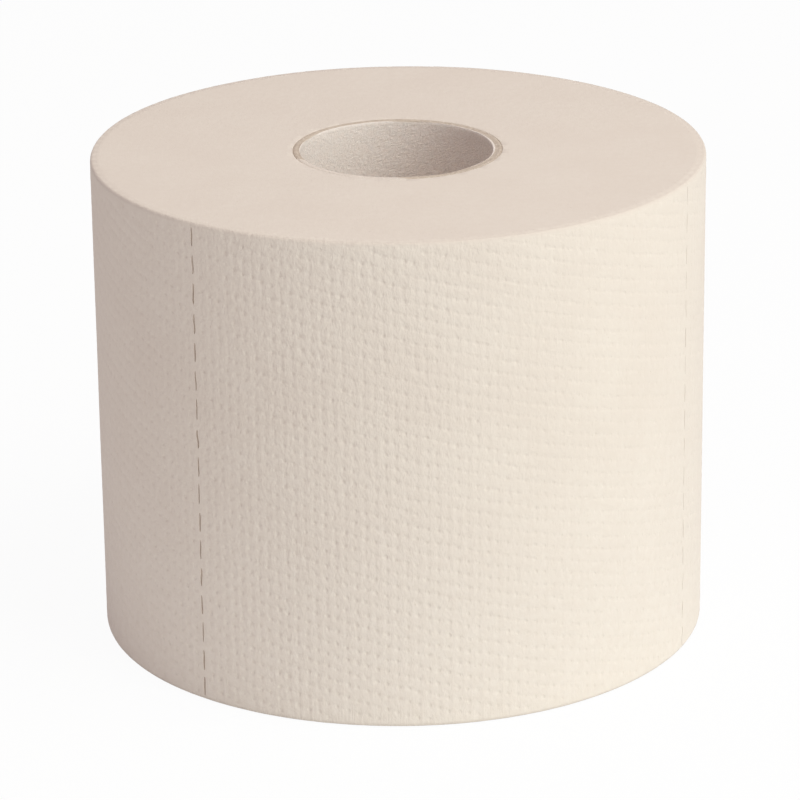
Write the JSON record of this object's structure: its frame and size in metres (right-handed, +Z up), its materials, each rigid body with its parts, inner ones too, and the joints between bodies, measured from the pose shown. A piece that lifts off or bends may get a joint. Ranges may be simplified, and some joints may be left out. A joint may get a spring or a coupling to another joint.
{
  "type": "toilet paper roll",
  "caption": "Roll of soft perforated tissue wound on a hollow cardboard core, standing on one end, with a loose tail edge at the back.",
  "frame": {"origin": "centre of the end that the roll stands on", "axes": "+Z up along the roll's axis, -Y towards the side that the picture shows"},
  "size_m": [0.1196, 0.1194, 0.096],
  "materials": {
    "core_board": "matt, fibrous",
    "tissue": "soft matt, dot embossed"
  },
  "bodies": {
    "root": {"cardboard_core": "core_board", "wound_tissue": "tissue"}
  },
  "joints": []
}
